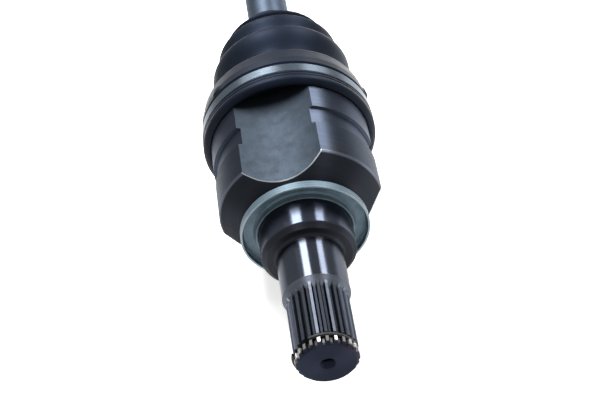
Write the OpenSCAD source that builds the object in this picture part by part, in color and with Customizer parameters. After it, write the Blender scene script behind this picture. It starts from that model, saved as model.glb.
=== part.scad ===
// Front half shaft: a plunging tripod joint at the gearbox end, a solid bar, and a
// fixed ball joint with its stub axle at the wheel end.
// X runs along the shaft from the gearbox stub towards the wheel, and Z is up.
// The origin is on the shaft's axis, midway along the oil-seal journal.

/* [Gearbox stub] */
// Outer radius of the gearbox spline
stub_spline_r = 13.5; // [12.8:0.1:14]
// Number of teeth on the gearbox spline
stub_teeth = 24; // [20:1:28]
// Depth of a gearbox spline tooth
stub_tooth_h = 1.3; // [0.9:0.1:1.6]
// Length of the gearbox spline, from the end face to the run-out cone
stub_spline_len = 31.5; // [26:0.5:40]
// Length of the run-out cone behind the spline
stub_cone_len = 4.2; // [3:0.1:6]
// Chamfer at the end of the stub
stub_chamfer = 1.7; // [1:0.1:2]
// Radius of the centre-drill hole in both ends of the shaft
centre_hole_r = 3.4; // [2.5:0.1:4]
// Depth of the centre-drill holes
centre_hole_depth = 7; // [5:0.5:12]
// Radius of the plain journal behind the spline
journal_r = 14.75; // [14.3:0.05:16]
// Length of the plain journal
journal_len = 22.5; // [15:0.5:30]
// Fillet between the plain journal and the seal journal's shoulder
journal_fillet = 1.4; // [0.8:0.1:2]
// Radius of the oil-seal journal
seal_r = 21; // [20:0.1:22]
// Length of the oil-seal journal
seal_len = 12.6; // [10:0.2:18]
// Chamfer at the front of the oil-seal journal
seal_chamfer = 2.2; // [1:0.1:3]
// Distance from the end face to the circlip groove
clip_from_end = 3.9; // [3.2:0.1:6]
// Wire diameter of the stub circlip
clip_wire = 1.8; // [1.4:0.1:2.2]
// How far the relaxed circlip hangs to one side
clip_hang = 0.7; // [0:0.1:0.9]

/* [Dust deflector] */
// Outer radius of the deflector's rim
deflector_r = 28.8; // [27:0.2:31]
// Length of the deflector's inner collar
deflector_collar_len = 4; // [3:0.2:6]
// Length of the deflector's outer rim
deflector_rim_len = 4; // [3:0.1:6]
// Sheet thickness of the deflector
deflector_wall = 0.8; // [0.6:0.1:1.2]

/* [Inner joint housing] */
// Outer radius of the tripod housing
tulip_r = 37; // [36.4:0.1:39]
// Length of the sloping shoulder
shoulder_len = 10; // [8:0.5:13]
// Length of the round body from the shoulder to the mouth
tulip_len = 62.5; // [60:0.5:76]
// Depth of the hollow between two tracks, below the outer radius
scallop_depth = 8.65; // [7.5:0.1:9]
// Radius of that hollow
scallop_r = 40.5; // [34:0.5:60]
// Distance from the shoulder to the turned band
band_from_shoulder = 17.8; // [10:0.2:22]
// Width of the turned band
band_w = 10.7; // [4:0.1:14]
// Depth of the turned band
band_depth = 1.5; // [0.5:0.1:2]

/* [Tripod] */
// Radius of a roller's ball-shaped outside
roller_r = 16; // [15.4:0.1:16.2]
// Height of a roller along its trunnion
roller_w = 11; // [9:0.5:11.5]
// Distance from the shaft's axis to a roller's centre
trunnion_pitch = 21; // [20.8:0.1:21.4]
// Radius of a trunnion
trunnion_r = 9.3; // [8:0.1:9.6]
// Diameter of a needle
needle_d = 2.4; // [2:0.1:2.6]
// Clearance between a roller and its track
track_gap = 0.9; // [0.9:0.05:1]
// Radius of the tripod's hub
hub_r = 14.6; // [14:0.1:14.8]
// Length of the tripod's hub
hub_len = 22; // [18:0.5:26]
// Distance from the housing's mouth back to the tripod at rest
tripod_depth = 21.8; // [20:0.1:26]
// Plunge each way from rest
plunge = 15; // [8:0.5:16]
// Largest bend of the tripod joint
tripod_bend = 20; // [10:1:20]

/* [Bar] */
// Radius of the bar
bar_r = 10.4; // [10:0.1:11.4]
// Radius of the thinner necks near the joints
neck_r = 9.6; // [8.6:0.1:9.8]
// Outer radius of the splines on the bar
bar_spline_r = 10.9; // [10.6:0.1:11.2]
// Number of teeth on the bar's splines
bar_teeth = 26; // [22:1:30]
// Distance between the centres of the two joints
joint_span = 350; // [300:5:480]

/* [Ball joint] */
// Radius of a ball
ball_r = 8; // [7.6:0.1:8.2]
// Distance from the joint's centre to a ball's centre
ball_pitch = 28.8; // [28.4:0.1:29.2]
// Distance of each track's centre from the joint's centre
track_offset = 3.5; // [2:0.1:4]
// Clearance between a ball and its tracks
ball_gap = 0.85; // [0.8:0.05:0.95]
// Thickness of the cage
cage_wall = 4.4; // [4:0.1:5]
// Half the cage's length
cage_half = 13; // [12.4:0.1:13.6]
// Clearance between the cage and both races
cage_gap = 0.3; // [0.2:0.05:0.4]
// Half the inner race's length
race_half = 10.5; // [9:0.5:11]
// Largest bend of the ball joint
ball_bend = 46; // [36:1:47]

/* [Wheel end] */
// Outer radius of the ball joint's bell
bell_r = 43.5; // [42.6:0.1:46]
// Distance from the joint's centre to the bell's mouth
bell_mouth = 13; // [12:0.2:13.4]
// Distance from the joint's centre to the shoulder that the wheel bearing meets
bearing_face = 41.5; // [39:0.5:50]
// Radius of that shoulder
bearing_shoulder_r = 31; // [28:0.5:34]
// Radius of the spigot under the wheel bearing
spigot_r = 17; // [16:0.1:19]
// Length of the spigot
spigot_len = 9; // [6:0.5:14]
// Outer radius of the hub spline
hub_spline_r = 14.3; // [13.6:0.1:15.4]
// Number of teeth on the hub spline
hub_teeth = 28; // [24:1:32]
// Length of the hub spline
hub_spline_len = 41; // [34:0.5:50]
// Radius of the hub nut's thread
thread_r = 12; // [11:0.1:12.4]
// Length of the hub nut's thread
thread_len = 23; // [18:0.5:30]

/* [Boots and clamps] */
// Wall of the boots
boot_wall = 2.6; // [2:0.1:3]
// Thickness of the inner boot's lip
inner_lip_t = 3.5; // [3.1:0.1:5]
// Distance from the lip's front edge to the housing's mouth
inner_lip_to_mouth = 20.8; // [18:0.1:24]
// Radii of the inner boot's folds, from the housing to the bar
inner_folds = [33.6, 29.7, 25.5];
// Distances of those folds from the housing's mouth
inner_fold_places = [25.2, 39.2, 48.1];
// Radii of the outer boot's folds, from the bell to the bar
outer_folds = [41, 37.5, 32.5, 26.5, 20.5];
// Distance between two folds of the outer boot
outer_fold_pitch = 12; // [11:0.5:14]
// Length of the cuffs that grip the bar
small_cuff_len = 11.5; // [11:0.5:16]
// Width of the large clamps
large_clamp_w = 4.4; // [4:0.1:6]
// Width of the small clamps
small_clamp_w = 5.6; // [4:0.1:7]
// Thickness of the clamps' steel band
clamp_t = 0.8; // [0.6:0.1:1]
// Length of a clamp's crimped ear
ear_len = 9; // [6:0.5:12]
// Height of a clamp's crimped ear
ear_h = 2; // [1.2:0.1:2.6]

/* [Hidden] */

$fn = 96;
// Clearance of a push fit inside one assembly
fit = 0.05;
// Clearance of soft parts and free rings
loose = 0.1;
// How far a cutter runs past what it cuts
past = 1;
// Angles round the axis, from +Y towards +Z
SCALLOPS = [90, 210, 330];
LOBES = [270, 30, 150];
LOW = LOBES[0];
LEFT = LOBES[1];
RIGHT = LOBES[2];
INNER_EARS = 300;
OUTER_EARS = 120;

// Stations along the gearbox stub
shoulder_x = -seal_len / 2 - seal_chamfer;
cone_x = shoulder_x - journal_len;
spline_x = cone_x - stub_cone_len;
stub_end_x = spline_x - stub_spline_len;
stub_root_r = stub_spline_r - stub_tooth_h;
clip_groove_r = stub_root_r - 0.9;
clip_groove_w = clip_wire + 2 * loose;

// Deflector, pressed on behind the seal journal
deflector_seat_r = seal_r + 0.2;
deflector_x = seal_len / 2;
deflector_back_x = deflector_x + deflector_collar_len;

// Stations along the tripod housing
foot_x = deflector_back_x + 0.3;
body_x = foot_x + shoulder_len;
mouth_x = body_x + tulip_len;
band_x = body_x + band_from_shoulder;
scallop_floor_r = tulip_r - scallop_depth;
scallop_centre = scallop_floor_r + scallop_r;
tripod_x = mouth_x - tripod_depth;
track_r = roller_r + track_gap;
roller_top = trunnion_pitch + roller_w / 2;
roller_foot = trunnion_pitch - roller_w / 2;
roof_gap = 0.7;
track_roof_r = sqrt(roller_top ^ 2 + roller_r ^ 2 - (roller_w / 2) ^ 2) + roof_gap;
scallop_wall = 6.15;
tulip_bore_r = scallop_floor_r - scallop_wall;
sideways = trunnion_pitch * sin(60) * sin(tripod_bend);
cavity_end_gap = 1;
cavity_x = tripod_x - plunge - roller_r - sideways - cavity_end_gap;

// What a trunnion carries, as heights from the shaft's axis
needle_recess = 0.8;
needle_len = roller_w - 2 * needle_recess;
roller_bore_r = trunnion_r + needle_d + 2 * fit;
washer_t = 0.6;
washer_lap = 1.3;
washer_r = roller_bore_r + washer_lap;
washer_gap = 0.2;
washer_z = roller_top + washer_gap;
ring_w = 0.8;
ring_depth = 0.6;
ring_z = washer_z + washer_t + fit;
trunnion_end = 0.9;
trunnion_top = ring_z + ring_w + trunnion_end;

// Stations along the bar
span_end_x = tripod_x + joint_span;
hub_front_x = tripod_x - hub_len / 2;
hub_back_x = tripod_x + hub_len / 2;
bar_ring_w = 1.6;
bar_collar_r = bar_spline_r + 1.3;
bar_collar_len = 3;
bar_lip = 1.5;
bar_start_x = hub_front_x - loose - bar_ring_w - bar_lip;
race_front_x = span_end_x - race_half;
race_back_x = span_end_x + race_half;
bar_end_x = race_back_x + loose + bar_ring_w + bar_lip;
tooth_h = 1;

// Ball joint
cage_in_r = ball_pitch - cage_wall / 2 + 0.2;
cage_out_r = cage_in_r + cage_wall;
race_r = cage_in_r - cage_gap;
bell_in_r = cage_out_r + cage_gap;
half_bend = ball_bend / 2;
track_arc_r = sqrt(ball_pitch ^ 2 + track_offset ^ 2);
ball_track_r = ball_r + ball_gap;
// Half the angle that a track turns through
track_reach = 46;
race_end_r = sqrt(race_r ^ 2 - race_half ^ 2);
bell_floor = race_half * cos(ball_bend) + race_end_r * sin(ball_bend) + 0.8;
window_w = 2 * ball_r + 0.6;
window_l = 2 * ball_track_r + 0.1;
BALLS = [for (k = [0:5]) 60 * k];

// Wheel end, as distances from the ball joint's centre
spline_start = bearing_face + spigot_len + 1.5;
spline_end = spline_start + hub_spline_len;
thread_start = spline_end + 2;
axle_end = thread_start + thread_len;
hub_tooth_h = 1.3;

// Boots and clamps
seat_r = tulip_r + loose;
inner_lip_r = seat_r + inner_lip_t;
lip_x = mouth_x - inner_lip_to_mouth;
lip_front_len = 6.8;
inner_clamp_x = lip_x + lip_front_len + loose + large_clamp_w / 2;
inner_clamp_r = inner_lip_r - clamp_t - 0.2;
cuff_end_x = mouth_x + 1.5;
first_fold_x = mouth_x + inner_fold_places[0];
last_fold_x = mouth_x + inner_fold_places[len(inner_folds) - 1];
inner_small_x = last_fold_x + 3.4;
small_cuff_r = bar_r + boot_wall + 1;
small_clamp_r = small_cuff_r - 1;
inner_small_clamp_x = inner_small_x + small_cuff_len / 2;
bell_seat_r = bell_r - 2.5;
bell_seat_len = 16;
outer_cuff_r = bell_seat_r + loose + 2.1;
outer_clamp_r = outer_cuff_r - 0.2;
outer_clamp_x = span_end_x - bell_mouth + bell_seat_len / 2;
outer_first_x = span_end_x - bell_mouth - 9;
outer_last_x = outer_first_x - (len(outer_folds) - 1) * outer_fold_pitch;
outer_small_x = outer_last_x - 6;
outer_small_clamp_x = outer_small_x - small_cuff_len / 2;

// Turns what stands on Z so that it lies along X, from station x
module along_x(x = 0) { translate([x, 0, 0]) rotate([90, 0, 90]) children(); }

// A turned solid about the shaft's axis; each point is [station, radius]
module turned(points) {
  along_x() rotate_extrude() polygon([for (p = points) [p[1], p[0]]]);
}

// Points of an arc round [x, r], from angle a to angle b
function arc(x, r, radius, a, b, steps = 6) =
  [for (i = [0:steps]) let (t = a + (b - a) * i / steps) [x + radius * cos(t), r + radius * sin(t)]];

// Points of a bellows wall that swings smoothly through its crests and valleys
function swing(turns, steps = 6) = [
  for (i = [0:len(turns) - 2], j = [0:steps - 1])
    let (a = turns[i], b = turns[i + 1], t = j / steps)
      [a[0] + (b[0] - a[0]) * t, a[1] + (b[1] - a[1]) * (1 - cos(180 * t)) / 2]
];

// Outline of a spline, with slack added to its radii and flanks
function spline_outline(teeth, tip_r, root_r, slack = 0) = [
  for (i = [0:teeth - 1], c = [[-0.7, root_r], [-0.34, tip_r], [0.34, tip_r], [0.7, root_r]])
    let (a = (i + c[0] / 2) * 360 / teeth + sign(c[0]) * slack * 180 / PI / c[1], r = c[1] + slack)
      [r * cos(a), r * sin(a)]
];

// A splined length between two stations, chamfered at its free end
module splined(x0, x1, teeth, tip_r, h, chamfer0, chamfer1) {
  intersection() {
    along_x(x0) linear_extrude(x1 - x0) polygon(spline_outline(teeth, tip_r, tip_r - h));
    turned([[x0, 0], [x0, tip_r - chamfer0], [x0 + chamfer0, tip_r], [x1 - chamfer1, tip_r],
      [x1, tip_r - chamfer1], [x1, 0]]);
  }
}

// A bore with matching teeth, to cut from a hub
module spline_bore(x0, x1) {
  along_x(x0 - past) linear_extrude(x1 - x0 + 2 * past)
    polygon(spline_outline(bar_teeth, bar_spline_r, bar_spline_r - tooth_h, fit));
}

// A square-section ring on the axis, open over a gap that faces angle a
module snap_ring(x, in_r, out_r, w, gap, a = 0) {
  difference() {
    turned([[x, in_r], [x, out_r], [x + w, out_r], [x + w, in_r]]);
    rotate([a, 0, 0]) translate([x - past, 0, -gap / 2]) cube([w + 2 * past, out_r + past, gap]);
  }
}

// The hollow between two tracks, as a 2D shape facing angle a
module scallop_2d(a, slack = 0) {
  rotate(a) translate([scallop_centre, 0]) circle(scallop_r - slack, $fn = 180);
}

// Gearbox stub

// Centre-drill hole with its 60 degree countersink, opening towards -X at station x
module centre_drill(x) {
  turned([[x - past, 0], [x - past, centre_hole_r + past * tan(30)], [x, centre_hole_r],
    [x + centre_hole_r * 0.8, centre_hole_r * 0.54], [x + centre_hole_depth, centre_hole_r * 0.54],
    [x + centre_hole_depth + 1, 0]]);
}

// Everything that is turned on the housing, outside
module housing_turning() {
  turned(concat(
    [[spline_x, 0], [spline_x, stub_root_r], [cone_x, journal_r],
      [shoulder_x - journal_fillet, journal_r]],
    arc(shoulder_x - journal_fillet, journal_r + journal_fillet, journal_fillet, 285, 345, 4),
    [[shoulder_x, journal_r + journal_fillet], [shoulder_x, seal_r - seal_chamfer],
      [-seal_len / 2, seal_r], [seal_len / 2 - 0.7, seal_r], [seal_len / 2 - 0.6, seal_r - 0.4],
      [seal_len / 2, seal_r - 0.4], [seal_len / 2, deflector_seat_r], [foot_x, deflector_seat_r],
      [foot_x, seal_r + 3.4], [foot_x + 0.13 * shoulder_len, seal_r + 5.6],
      [foot_x + 0.3 * shoulder_len, scallop_floor_r + 0.6],
      [foot_x + 0.53 * shoulder_len, tulip_r - 4.9], [body_x - 0.6, tulip_r - 0.4],
      [body_x, tulip_r], [band_x, tulip_r], [band_x + 0.4, tulip_r - band_depth],
      [band_x + band_w - 0.4, tulip_r - band_depth], [band_x + band_w, tulip_r],
      [mouth_x - 1, tulip_r], [mouth_x, tulip_r - 1], [mouth_x, 0]]
  ));
}

// The three roller tracks and the bore that joins them
module tracks() {
  along_x(cavity_x) linear_extrude(mouth_x - cavity_x + past) {
    circle(tulip_bore_r);
    for (a = LOBES) rotate(a) intersection() {
      translate([trunnion_pitch, 0]) circle(track_r);
      circle(track_roof_r);
    }
  }
  mouth_flare = 4;
  turned([[mouth_x - mouth_flare, 0], [mouth_x - mouth_flare, tulip_bore_r],
    [mouth_x + past, tulip_bore_r + mouth_flare + past], [mouth_x + past, 0]]);
}

// Groove for the circlip, just behind the end of the stub
module clip_groove() {
  x = stub_end_x + clip_from_end;
  turned([[x, clip_groove_r], [x, stub_spline_r + past], [x + clip_groove_w, stub_spline_r + past],
    [x + clip_groove_w, clip_groove_r]]);
}

module inner_housing() {
  color("#4e545e") difference() {
    union() {
      housing_turning();
      splined(stub_end_x, cone_x, stub_teeth, stub_spline_r, stub_tooth_h, stub_chamfer, 0);
    }
    clip_groove();
    centre_drill(stub_end_x);
    along_x(foot_x - past) linear_extrude(mouth_x - foot_x + 2 * past)
      for (a = SCALLOPS) scallop_2d(a);
    tracks();
  }
}

module dust_deflector() {
  back = deflector_back_x;
  w = deflector_wall;
  color("#8fa3ab") turned(concat(
    [[deflector_x + 0.1, deflector_seat_r + fit], [deflector_x, deflector_seat_r + w],
      [back - 2 * w, deflector_seat_r + w], [back - w, deflector_seat_r + 2 * w],
      [back - w, deflector_r - 2 * w], [back - 2 * w, deflector_r - w],
      [back - deflector_rim_len, deflector_r - w], [back - deflector_rim_len, deflector_r]],
    arc(back - w, deflector_r - w, w, 90, 0, 4),
    [[back, deflector_seat_r + fit]]
  ));
}

module stub_circlip() {
  mid = clip_groove_w / 2;
  ring_r = clip_groove_r + clip_hang + loose + clip_wire / 2;
  gap = 12;
  color("#15171a") translate([stub_end_x + clip_from_end + mid, clip_hang, 0]) difference() {
    along_x() rotate_extrude() translate([ring_r, 0]) circle(clip_wire / 2, $fn = 24);
    rotate([50, 0, 0]) translate([-clip_wire, 0, -gap / 2]) cube([2 * clip_wire, ring_r + clip_wire, gap]);
  }
}

// Tripod

// Puts children, whose Z points outwards, on the trunnion at angle a
module on_trunnion(a) { translate([tripod_x, 0, 0]) rotate([a - 90, 0, 0]) children(); }

module trunnion() {
  groove_r = trunnion_r - ring_depth;
  root_r = trunnion_r + 2.2;
  root_z = (bar_spline_r + hub_r) / 2;
  foot_z = roller_foot - loose;
  edge = 0.3;
  rotate_extrude() polygon([[0, root_z], [root_r, root_z], [root_r, foot_z - edge], [root_r - edge, foot_z],
    [trunnion_r, foot_z], [trunnion_r, ring_z - fit], [groove_r, ring_z - fit],
    [groove_r, ring_z + ring_w + fit], [trunnion_r, ring_z + ring_w + fit],
    [trunnion_r - trunnion_end, trunnion_top], [0, trunnion_top]]);
}

module tripod_spider() {
  bevel = 1.5;
  color("#6b6f76") difference() {
    union() {
      turned([[hub_front_x, 0], [hub_front_x, hub_r - bevel], [hub_front_x + bevel, hub_r],
        [hub_back_x - bevel, hub_r], [hub_back_x, hub_r - bevel], [hub_back_x, 0]]);
      for (a = LOBES) on_trunnion(a) trunnion();
    }
    spline_bore(hub_front_x, hub_back_x);
  }
}

module roller(a) {
  color("#a3a8ad") on_trunnion(a) translate([0, 0, trunnion_pitch]) rotate_extrude() intersection() {
    circle(roller_r);
    translate([roller_bore_r, -roller_w / 2]) square([roller_r, roller_w]);
  }
}

// A full ring of needles between a trunnion and its roller
module needles(a) {
  ring = trunnion_r + fit + needle_d / 2;
  count = floor(2 * PI * ring / (needle_d + fit));
  color("#c4c8cc") on_trunnion(a) for (i = [0:count - 1])
    rotate([0, 0, i * 360 / count]) translate([ring, 0, trunnion_pitch - needle_len / 2])
      cylinder(d = needle_d, h = needle_len, $fn = 24);
}

module needle_washers() {
  color("#8d9298") for (a = LOBES) on_trunnion(a) translate([0, 0, washer_z]) difference() {
    cylinder(r = washer_r, h = washer_t);
    translate([0, 0, -past]) cylinder(r = trunnion_r + fit, h = washer_t + 2 * past);
  }
}

module trunnion_snap_rings() {
  out_r = trunnion_r + 1;
  gap = 5;
  color("#2c2e31") for (a = LOBES) on_trunnion(a) translate([0, 0, ring_z]) difference() {
    cylinder(r = out_r, h = ring_w);
    translate([0, 0, -past]) cylinder(r = trunnion_r - ring_depth + loose, h = ring_w + 2 * past);
    translate([0, -gap / 2, -past]) cube([out_r + past, gap, ring_w + 2 * past]);
  }
}

module spider_snap_ring() {
  color("#2c2e31")
    snap_ring(hub_front_x - loose - bar_ring_w, bar_spline_r - 1.1, bar_spline_r + 1.8, bar_ring_w, 4, 60);
}

// Bar

// Cuts a snap ring's groove in the bar, w wide from station x
module bar_groove(x, w) {
  turned([[x, bar_spline_r - 1.2], [x, bar_spline_r + past], [x + w, bar_spline_r + past],
    [x + w, bar_spline_r - 1.2]]);
}

module bar() {
  slope = 14;
  taper = 8;
  cuff_seat = 0.4;
  end_chamfer = 1.4;
  a = inner_small_x + 1;
  b = inner_small_x + small_cuff_len - 1;
  c = outer_small_x - small_cuff_len + 1;
  d = outer_small_x - 1;
  in_neck = hub_back_x + bar_collar_len;
  out_neck = race_front_x - bar_collar_len;
  groove_w = bar_ring_w + fit;
  color("#7d838b") difference() {
    union() {
      splined(bar_start_x, hub_back_x + 0.5, bar_teeth, bar_spline_r, tooth_h, end_chamfer, 0);
      turned([[hub_back_x, 0], [hub_back_x, bar_collar_r], [in_neck - 1, bar_collar_r],
        [in_neck + 3, neck_r], [a - taper - slope, neck_r], [a - taper, bar_r], [a, bar_r],
        [a, bar_r - cuff_seat], [b, bar_r - cuff_seat], [b, bar_r], [c, bar_r],
        [c, bar_r - cuff_seat], [d, bar_r - cuff_seat], [d, bar_r], [d + taper, bar_r],
        [d + taper + slope, neck_r], [out_neck - 3, neck_r], [out_neck + 1, bar_collar_r],
        [race_front_x, bar_collar_r], [race_front_x, 0]]);
      splined(race_front_x - 0.5, bar_end_x, bar_teeth, bar_spline_r, tooth_h, 0, end_chamfer);
    }
    bar_groove(hub_front_x - loose / 2 - groove_w, groove_w);
    bar_groove(race_back_x + loose / 2, groove_w);
  }
}

// Ball joint

// The bent tube that a ball rolls in, in the meridian plane at angle a; the middle of
// its bend is offset along X
module ball_track(a, offset) {
  translate([span_end_x + offset, 0, 0]) rotate([a, 0, 0]) rotate([0, 0, 90 - track_reach])
    rotate_extrude(angle = 2 * track_reach) translate([track_arc_r, 0]) circle(ball_track_r);
}

module inner_race() {
  color("#8f959c") difference() {
    intersection() {
      translate([span_end_x, 0, 0]) sphere(race_r);
      along_x(race_front_x) cylinder(r = race_end_r + 3, h = 2 * race_half);
    }
    for (a = BALLS) ball_track(a + 90, track_offset);
    spline_bore(race_front_x, race_back_x);
  }
}

module race_snap_ring() {
  color("#2c2e31")
    snap_ring(race_back_x + loose, bar_spline_r - 1.1, bar_spline_r + 1.8, bar_ring_w, 4, 240);
}

// As the joint bends, a ball drifts round its window towards the plane of the bend. At
// rest it stands half of its largest drift to the other side of its track's middle.
function drift(a) =
  abs(sin(2 * a)) < 0.01 ? 0 : (atan(tan(a) / cos(half_bend)) - atan(tan(a))) / 2;

// Angle round the axis of the ball that stands at angle a from +Z
function ball_angle(a) = 90 + a + drift(a);

module ball(k) {
  color("#c9cdd1") translate([span_end_x, 0, 0]) rotate([ball_angle(BALLS[k]), 0, 0])
    translate([0, ball_pitch, 0]) sphere(ball_r);
}

module ball_cage() {
  color("#5c6068") difference() {
    intersection() {
      translate([span_end_x, 0, 0]) sphere(cage_out_r);
      along_x(span_end_x - cage_half) cylinder(r = cage_out_r + past, h = 2 * cage_half);
    }
    translate([span_end_x, 0, 0]) sphere(cage_in_r);
    for (a = BALLS) translate([span_end_x, 0, 0]) rotate([ball_angle(a), 0, 0])
      translate([-window_w / 2, cage_in_r * 0.6, -window_l / 2]) cube([window_w, cage_out_r, window_l]);
  }
}

// Outside of the bell and the plain parts of its stub axle
module bell_turning() {
  c = span_end_x;
  m = c - bell_mouth;
  f = c + bearing_face;
  root_r = hub_spline_r - hub_tooth_h;
  turned(concat(
    [[m, 0], [m, bell_seat_r - 1], [m + 1, bell_seat_r], [m + bell_seat_len, bell_seat_r],
      [m + bell_seat_len + 1.5, bell_r], [c + 17, bell_r]],
    arc(c + 17, bell_r - 9, 9, 90, 40, 5),
    [[f - 5.5, bearing_shoulder_r + 2], [f - 4.5, bearing_shoulder_r],
      [f - 0.8, bearing_shoulder_r], [f, bearing_shoulder_r - 0.8], [f, spigot_r + 1.5],
      [f + 0.5, spigot_r + 0.4], [f + 1.5, spigot_r], [f + spigot_len - 1, spigot_r],
      [c + spline_start, root_r], [c + spline_start + 1, root_r - 0.6], [c + spline_start + 1, 0]]
  ));
  turned([[c + spline_end - 1, 0], [c + spline_end - 1, thread_r - 0.9],
    [c + thread_start, thread_r - 0.9], [c + thread_start + 0.9, thread_r],
    [c + axle_end - 1.2, thread_r], [c + axle_end, thread_r - 1.2], [c + axle_end, 0]]);
}

// Room for the cage, open at the mouth and flat at its floor
module bell_hollow() {
  c = span_end_x;
  intersection() {
    translate([c, 0, 0]) sphere(bell_in_r);
    along_x(c - bell_in_r - past) cylinder(r = bell_in_r + past, h = bell_in_r + past + bell_floor);
  }
  mouth_r = sqrt(bell_in_r ^ 2 - bell_mouth ^ 2);
  turned([[c - bell_mouth - past, 0], [c - bell_mouth - past, mouth_r + 2.2],
    [c - bell_mouth + 1.2, mouth_r], [c - bell_mouth + 1.2, 0]]);
}

module outer_housing() {
  color("#565c66") difference() {
    union() {
      bell_turning();
      splined(span_end_x + spline_start, span_end_x + spline_end, hub_teeth, hub_spline_r, hub_tooth_h, 1, 1);
    }
    bell_hollow();
    for (a = BALLS) ball_track(a + 90, -track_offset);
    translate([2 * (span_end_x + axle_end), 0, 0]) mirror([1, 0, 0]) centre_drill(span_end_x + axle_end);
  }
}

// Boots

// The cuff that grips the bar: outline points from x, in direction dir along X
function small_cuff(x, dir) = [
  for (p = [[0, 0], [0.22, 0.4], [0.25, -1], [0.75, -1], [0.78, 0.3], [1, 0.3]])
    [x + dir * p[0] * small_cuff_len, small_cuff_r + p[1]]
];

// Valleys and crests of a boot, from [x, r] pairs of its crests; a valley lies midway
function turns(crests, floor_r) = [
  for (i = [0:len(crests) - 1]) each i == 0 ? [crests[0]] : [
    [(crests[i - 1][0] + crests[i][0]) / 2, max(floor_r, 0.8 * crests[i][1])], crests[i]]
];

module inner_boot() {
  groove_a = inner_clamp_x - large_clamp_w / 2 - loose;
  groove_b = inner_clamp_x + large_clamp_w / 2 + loose;
  gap_w = 1.4;
  cuff_end = [cuff_end_x, inner_lip_r - 1.8];
  crests = [for (i = [0:len(inner_folds) - 1]) [mouth_x + inner_fold_places[i], inner_folds[i]]];
  valley = [0.55 * cuff_end_x + 0.45 * first_fold_x, inner_folds[0] - 5.6];
  waves = swing(concat([cuff_end, valley], turns(crests, small_cuff_r), [[inner_small_x, small_cuff_r]]));
  outside = concat(
    [[lip_x, seat_r + 0.3], [lip_x + 0.4, inner_lip_r - 1.6], [lip_x + 1.3, inner_lip_r - 0.4],
      [lip_x + 2.1, inner_lip_r], [groove_a, inner_lip_r], [groove_a, inner_clamp_r - loose],
      [groove_b + gap_w, inner_clamp_r - loose], [groove_b + gap_w + 0.3, inner_lip_r - 0.3],
      [groove_b + gap_w + 4.2, inner_lip_r - 0.6]],
    waves, small_cuff(inner_small_x, 1));
  inside = concat(
    [[inner_small_x + small_cuff_len, bar_r + loose], [inner_small_x + 0.5, bar_r + loose]],
    [for (i = [len(waves) - 1:-1:1]) if (waves[i][1] > small_cuff_r + 0.3)
      [waves[i][0], waves[i][1] - boot_wall]],
    [[cuff_end_x, seat_r], [lip_x, seat_r]]);
  lobe_x = lip_x + 3.5;
  color("#1d2129") union() {
    turned(concat(outside, inside));
    along_x(lobe_x) linear_extrude(mouth_x - lobe_x) intersection() {
      circle(seat_r + 0.6);
      for (a = SCALLOPS) scallop_2d(a, loose);
    }
  }
}

module outer_boot() {
  m = span_end_x - bell_mouth;
  cuff_x = m + bell_seat_len - 0.3;
  groove_a = outer_clamp_x - large_clamp_w / 2 - loose;
  groove_b = outer_clamp_x + large_clamp_w / 2 + loose;
  crests = [for (i = [0:len(outer_folds) - 1]) [outer_first_x - i * outer_fold_pitch, outer_folds[i]]];
  cuff_end = [m - 1.5, outer_cuff_r - 0.5];
  valley = [outer_first_x + 4.5, outer_folds[0] - 5];
  waves = swing(concat([cuff_end, valley], turns(crests, small_cuff_r), [[outer_small_x, small_cuff_r]]));
  outside = concat(
    [[cuff_x, outer_cuff_r], [groove_b, outer_cuff_r], [groove_b, outer_clamp_r - loose],
      [groove_a, outer_clamp_r - loose], [groove_a, outer_cuff_r]],
    waves, small_cuff(outer_small_x, -1));
  inside = concat(
    [[outer_small_x - small_cuff_len, bar_r + loose], [outer_small_x - 0.5, bar_r + loose]],
    [for (i = [len(waves) - 1:-1:1]) if (waves[i][1] > small_cuff_r + 0.3)
      [waves[i][0], waves[i][1] - boot_wall]],
    [[m - 1.5, bell_seat_r + loose], [cuff_x, bell_seat_r + loose]]);
  color("#1d2129") turned(concat(outside, inside));
}

// Clamps

// A band clamp round the axis, whose crimped ear stands at angle a
module band_clamp(x, r, w, a) {
  out_r = r + clamp_t;
  half = ear_len / 2;
  color("#b9c0c2") along_x(x - w / 2) linear_extrude(w) difference() {
    union() {
      circle(out_r, $fn = 180);
      rotate(a) translate([r - 0.5, -half]) square([ear_h + 0.5 + clamp_t, ear_len]);
    }
    circle(r, $fn = 180);
    rotate(a) translate([r - 1, clamp_t - half]) square([ear_h + 1, ear_len - 2 * clamp_t]);
  }
}

module inner_large_clamp() { band_clamp(inner_clamp_x, inner_clamp_r, large_clamp_w, INNER_EARS); }
module inner_small_clamp() {
  band_clamp(inner_small_clamp_x, small_clamp_r + loose, small_clamp_w, INNER_EARS);
}
module outer_large_clamp() { band_clamp(outer_clamp_x, outer_clamp_r, large_clamp_w, OUTER_EARS); }
module outer_small_clamp() {
  band_clamp(outer_small_clamp_x, small_clamp_r + loose, small_clamp_w, OUTER_EARS);
}

inner_housing();
dust_deflector();
stub_circlip();
inner_boot();
inner_large_clamp();
inner_small_clamp();
tripod_spider();
spider_snap_ring();
roller(LOW);  // roller_low
roller(LEFT);  // roller_left
roller(RIGHT);  // roller_right
needles(LOW);  // needles_low
needles(LEFT);  // needles_left
needles(RIGHT);  // needles_right
needle_washers();
trunnion_snap_rings();
bar();
inner_race();
race_snap_ring();
ball_cage();
ball(0);  // ball_1
ball(1);  // ball_2
ball(2);  // ball_3
ball(3);  // ball_4
ball(4);  // ball_5
ball(5);  // ball_6
outer_housing();
outer_boot();
outer_large_clamp();
outer_small_clamp();
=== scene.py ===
"""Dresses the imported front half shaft: steel, rubber and plated finishes, the two rubber
boots with their folds and moulded details, and the plain studio they are shown in."""

import logging
import math
from dataclasses import dataclass, field
from enum import Enum
from typing import Any, Optional, Sequence

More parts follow.
